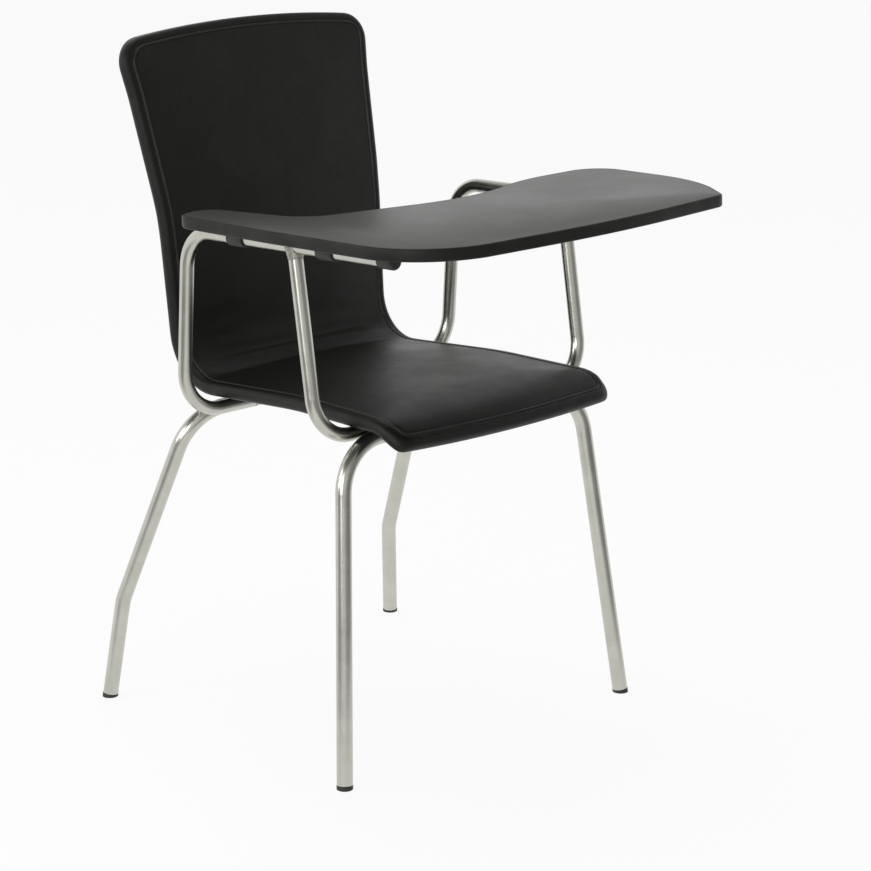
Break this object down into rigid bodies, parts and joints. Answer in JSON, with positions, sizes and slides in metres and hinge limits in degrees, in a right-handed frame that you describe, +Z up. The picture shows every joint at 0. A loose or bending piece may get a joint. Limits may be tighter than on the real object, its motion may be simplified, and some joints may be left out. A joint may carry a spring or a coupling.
{
  "type": "tablet arm chair",
  "caption": "Stacking-style training chair: bent steel tube legs and arms, padded one-piece shell and a writing tablet that flips up about the right arm rail.",
  "frame": {"origin": "on the floor, under the middle of the whole chair's box with the tablet down", "axes": "+X to the sitter's left, +Y to the rear, +Z up; the sitter faces -Y"},
  "size_m": [0.5973, 0.6873, 0.88],
  "materials": {
    "tube_steel": "satin nickel plate",
    "weld_steel": "plated weld bead",
    "bar_steel": "satin nickel plate",
    "screw_steel": "zinc plate",
    "black_plastic": "moulded nylon",
    "black_rubber": "matt rubber",
    "plywood": "raw beech plywood",
    "black_leather": "grained leather, semi gloss",
    "board": "raw fibreboard",
    "tablet_laminate": "grey laminate, fine texture",
    "tablet_backing_sheet": "black balancing sheet",
    "tablet_edge_band": "black moulded edge"
  },
  "bodies": {
    "root": {"leg_frame_front": "tube_steel", "leg_frame_rear": "tube_steel", "arm_loop_left": "tube_steel", "arm_rail_right": "tube_steel", "arm_post_right": "tube_steel", "weld_beads": "weld_steel", "seat_bar_left": "bar_steel", "seat_bar_right": "bar_steel", "support_plate": "bar_steel", "seat_screws": "screw_steel", "seat_tee_nuts": "screw_steel", "glide_front_right": "black_plastic", "glide_front_left": "black_plastic", "glide_rear_right": "black_plastic", "glide_rear_left": "black_plastic", "arm_end_plugs": "black_plastic", "rest_block": "black_plastic", "seat_spacers": "black_rubber", "support_pad": "black_rubber", "shell_core": "plywood", "cushion_front": "black_leather", "cushion_rear": "black_leather"},
    "tablet": {"tablet_core": "board", "tablet_top": "tablet_laminate", "tablet_backing": "tablet_backing_sheet", "tablet_edge": "tablet_edge_band", "tablet_rear_clip": "black_plastic", "tablet_rear_pad": "black_plastic", "tablet_rear_screws": "screw_steel", "tablet_front_clip": "black_plastic", "tablet_front_pad": "black_plastic", "tablet_front_screws": "screw_steel"}
  },
  "joints": [
    {"name": "tablet_flip", "type": "hinge", "parent": "root", "child": "tablet", "pos_m": [-0.2254, 0.0179, 0.65744], "axis": [0, -0.9991, 0.0434], "range_deg": [0, 90]}
  ]
}
